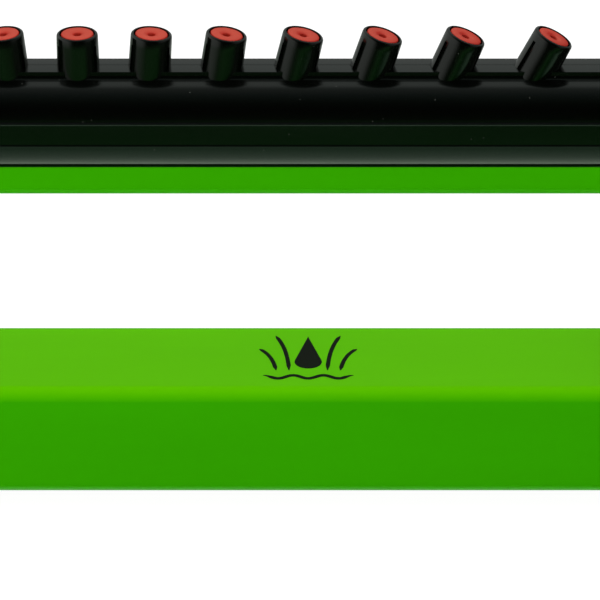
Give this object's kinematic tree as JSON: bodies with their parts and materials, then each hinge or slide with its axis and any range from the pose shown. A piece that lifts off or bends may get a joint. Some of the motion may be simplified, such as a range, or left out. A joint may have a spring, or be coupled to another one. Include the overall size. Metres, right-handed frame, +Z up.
{
  "type": "oscillating lawn sprinkler",
  "caption": "Oscillating garden sprinkler: a swinging spray bar with a fan of rubber nozzles above a long base beam, with cross feet, geared turbine drive and hose inlet",
  "frame": {"origin": "on the ground, in the middle of the whole length and width, under the base beam", "axes": "+X along the spray bar towards the hose spigot, -Y is the front, +Z up"},
  "size_m": [0.524, 0.19, 0.1335],
  "materials": {
    "lime_plastic": "lime green injection-moulded plastic with a satin sheen",
    "black_gloss": "glossy black moulded plastic with a faint green cast",
    "black_plastic": "black moulded plastic, semi-gloss",
    "nozzle_rubber": "soft red rubber, matt",
    "red_plastic": "red moulded plastic, semi-gloss",
    "gear_plastic": "natural white low-friction plastic",
    "black_rubber": "black rubber",
    "steel": "stainless steel"
  },
  "bodies": {
    "base": {"base_beam": "lime_plastic", "beam_caps": "black_plastic", "left_foot": "black_plastic", "right_foot": "black_plastic", "foot_pads": "black_rubber", "pivot_post": "black_plastic", "post_bush": "gear_plastic", "base_screws": "steel", "housing_shell": "black_plastic", "housing_cover": "lime_plastic", "cover_gasket": "black_rubber", "cover_screws": "steel", "neck_bush": "gear_plastic", "neck_seal": "black_rubber", "neck_washer": "gear_plastic", "gear_shafts": "steel", "gear_plate": "gear_plastic", "turbine_case": "gear_plastic", "jet_plate": "gear_plastic", "hose_adapter": "black_plastic", "hose_tail": "black_plastic", "adapter_washer": "black_rubber", "inlet_filter": "steel"},
    "spray_bar": {"bar_upper_shell": "black_gloss", "bar_lower_shell": "lime_plastic", "bar_gasket": "black_rubber", "bar_trunnion": "black_plastic", "bar_neck": "black_plastic", "bar_gear": "gear_plastic", "neck_clip": "steel", "nozzle_insert_01": "nozzle_rubber", "nozzle_insert_02": "nozzle_rubber", "nozzle_insert_03": "nozzle_rubber", "nozzle_insert_04": "nozzle_rubber", "nozzle_insert_05": "nozzle_rubber", "nozzle_insert_06": "nozzle_rubber", "nozzle_insert_07": "nozzle_rubber", "nozzle_insert_08": "nozzle_rubber", "nozzle_insert_09": "nozzle_rubber", "nozzle_insert_10": "nozzle_rubber", "nozzle_insert_11": "nozzle_rubber", "nozzle_insert_12": "nozzle_rubber", "nozzle_insert_13": "nozzle_rubber", "nozzle_insert_14": "nozzle_rubber", "nozzle_insert_15": "nozzle_rubber", "nozzle_insert_16": "nozzle_rubber", "nozzle_insert_17": "nozzle_rubber"},
    "range_ring_front": {"range_ring_a": "red_plastic"},
    "range_ring_back": {"range_ring_b": "red_plastic"},
    "end_plug_set": {"end_plug": "red_plastic", "cleaning_pin": "steel", "plug_oring": "black_rubber"},
    "trip": {"trip_lever": "red_plastic", "diverter_flap": "gear_plastic"},
    "gear_first": {"gear_a": "gear_plastic"},
    "gear_last": {"gear_b": "gear_plastic"},
    "turbine_wheel": {"turbine": "gear_plastic"},
    "flow_control": {"flow_knob": "red_plastic", "valve_plug": "gear_plastic"}
  },
  "joints": [
    {"name": "bar_swing", "type": "hinge", "parent": "base", "child": "spray_bar", "pos_m": [0, 0, 0.1035], "axis": [1, 0, 0], "range_deg": [-60, 60]},
    {"name": "front_ring_turn", "type": "hinge", "parent": "spray_bar", "child": "range_ring_front", "pos_m": [0.121, 0, 0.1035], "axis": [1, 0, 0], "range_deg": [0, 50]},
    {"name": "back_ring_turn", "type": "hinge", "parent": "spray_bar", "child": "range_ring_back", "pos_m": [0.1263, 0, 0.1035], "axis": [1, 0, 0], "range_deg": [-50, 0]},
    {"name": "plug_pull", "type": "slide", "parent": "spray_bar", "child": "end_plug_set", "axis": [-1, 0, 0], "range_m": [0, 0.045]},
    {"name": "trip_swing", "type": "hinge", "parent": "base", "child": "trip", "pos_m": [0.12, 0, 0.058], "axis": [1, 0, 0], "range_deg": [-12, 12]},
    {"name": "last_gear_spin", "type": "hinge", "parent": "base", "child": "gear_last", "pos_m": [0.15, -0.01, 0.0773], "axis": [1, 0, 0], "range_deg": [-300, 300]},
    {"name": "first_gear_spin", "type": "hinge", "parent": "base", "child": "gear_first", "pos_m": [0.165, 0.01, 0.0773], "axis": [1, 0, 0], "range_deg": [-1200, 1200]},
    {"name": "turbine_spin", "type": "hinge", "parent": "base", "child": "turbine_wheel", "pos_m": [0.18, -0.01, 0.0773], "axis": [1, 0, 0], "range_deg": [-4700, 4700]},
    {"name": "flow_turn", "type": "hinge", "parent": "base", "child": "flow_control", "pos_m": [0.2225, 0, 0.066], "axis": [0, 0, 1], "range_deg": [0, 90]}
  ],
  "couplings": [
    {"joint": "last_gear_spin", "follows": "bar_swing", "ratio": -4.8333},
    {"joint": "first_gear_spin", "follows": "bar_swing", "ratio": 19.333},
    {"joint": "turbine_spin", "follows": "bar_swing", "ratio": -77.333}
  ]
}
